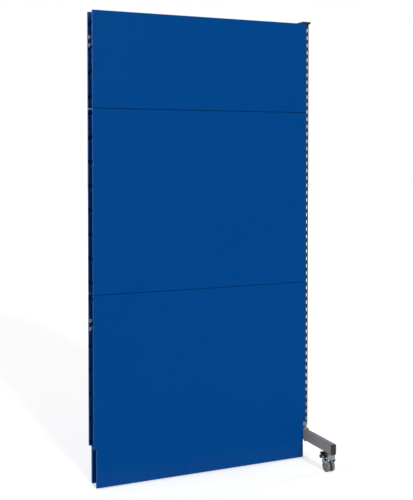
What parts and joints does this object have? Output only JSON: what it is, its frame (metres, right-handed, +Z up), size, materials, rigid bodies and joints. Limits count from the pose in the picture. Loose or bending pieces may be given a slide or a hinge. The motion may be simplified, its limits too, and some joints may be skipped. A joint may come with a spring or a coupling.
{
  "type": "rolling partition bay",
  "caption": "Rolling partition bay with blue sheet-steel panels on both sides of a slotted upright, on a foot tube with braked twin-wheel castors; its open end hooks into the next bay.",
  "frame": {"origin": "on the floor, under the middle of the bounding box", "axes": "+X along the bay, from the open end to the upright; +Y to the rear side; +Z up"},
  "size_m": [1.029, 0.56, 1.9784],
  "materials": {
    "blue_powder_coat": "fine powder coat, satin",
    "grey_powder_coat": "fine powder coat, satin",
    "zinc_plate": "bright zinc plate",
    "dark_plastic": "matt moulded",
    "wheel_plastic": "moulded",
    "grey_rubber": "smooth",
    "pedal_plastic": "moulded"
  },
  "bodies": {
    "frame": {"upright_inner_channel": "grey_powder_coat", "upright_outer_channel": "grey_powder_coat", "upright_top_cap": "dark_plastic", "upper_cross_rail": "grey_powder_coat", "lower_cross_rail": "grey_powder_coat", "upper_rail_left_hook": "grey_powder_coat", "upper_rail_right_hook": "grey_powder_coat", "lower_rail_left_hook": "grey_powder_coat", "lower_rail_right_hook": "grey_powder_coat", "rail_rivets": "zinc_plate", "front_top_panel": "blue_powder_coat", "front_middle_panel": "blue_powder_coat", "front_bottom_panel": "blue_powder_coat", "rear_top_panel": "blue_powder_coat", "rear_middle_panel": "blue_powder_coat", "rear_bottom_panel": "blue_powder_coat", "foot_tube": "grey_powder_coat", "foot_post": "grey_powder_coat", "foot_collar": "zinc_plate", "foot_bolts": "zinc_plate", "foot_nuts": "zinc_plate", "post_bolts": "zinc_plate", "post_nuts": "zinc_plate", "front_end_plug": "dark_plastic", "rear_end_plug": "dark_plastic", "castor_nuts": "zinc_plate", "front_castor_stem": "zinc_plate", "front_swivel_bearing": "zinc_plate", "rear_castor_stem": "zinc_plate", "rear_swivel_bearing": "zinc_plate"},
    "front_castor": {"front_castor_housing": "zinc_plate", "front_wheel_axle": "zinc_plate", "front_pedal_pin": "zinc_plate"},
    "front_left_wheel": {"front_left_hub": "wheel_plastic", "front_left_tyre": "grey_rubber"},
    "front_right_wheel": {"front_right_hub": "wheel_plastic", "front_right_tyre": "grey_rubber"},
    "front_pedal": {"front_brake_pedal": "pedal_plastic", "front_brake_shoe": "zinc_plate"},
    "rear_castor": {"rear_castor_housing": "zinc_plate", "rear_wheel_axle": "zinc_plate", "rear_pedal_pin": "zinc_plate"},
    "rear_left_wheel": {"rear_left_hub": "wheel_plastic", "rear_left_tyre": "grey_rubber"},
    "rear_right_wheel": {"rear_right_hub": "wheel_plastic", "rear_right_tyre": "grey_rubber"},
    "rear_pedal": {"rear_brake_pedal": "pedal_plastic", "rear_brake_shoe": "zinc_plate"}
  },
  "joints": [
    {"name": "front_swivel", "type": "hinge", "parent": "frame", "child": "front_castor", "pos_m": [0.4935, -0.26, 0.07], "axis": [0, 0, 1], "continuous": true},
    {"name": "front_left_wheel_spin", "type": "hinge", "parent": "front_castor", "child": "front_left_wheel", "pos_m": [0.4935, -0.24, 0.025], "axis": [1, 0, 0], "continuous": true},
    {"name": "front_right_wheel_spin", "type": "hinge", "parent": "front_castor", "child": "front_right_wheel", "pos_m": [0.4935, -0.24, 0.025], "axis": [1, 0, 0], "continuous": true},
    {"name": "front_brake", "type": "hinge", "parent": "front_castor", "child": "front_pedal", "pos_m": [0.4935, -0.227, 0.062], "axis": [-1, 0, 0], "range_deg": [0, 12]},
    {"name": "rear_swivel", "type": "hinge", "parent": "frame", "child": "rear_castor", "pos_m": [0.4935, 0.26, 0.07], "axis": [0, 0, 1], "continuous": true},
    {"name": "rear_left_wheel_spin", "type": "hinge", "parent": "rear_castor", "child": "rear_left_wheel", "pos_m": [0.4935, 0.24, 0.025], "axis": [1, 0, 0], "continuous": true},
    {"name": "rear_right_wheel_spin", "type": "hinge", "parent": "rear_castor", "child": "rear_right_wheel", "pos_m": [0.4935, 0.24, 0.025], "axis": [1, 0, 0], "continuous": true},
    {"name": "rear_brake", "type": "hinge", "parent": "rear_castor", "child": "rear_pedal", "pos_m": [0.4935, 0.227, 0.062], "axis": [1, 0, 0], "range_deg": [0, 12]}
  ]
}
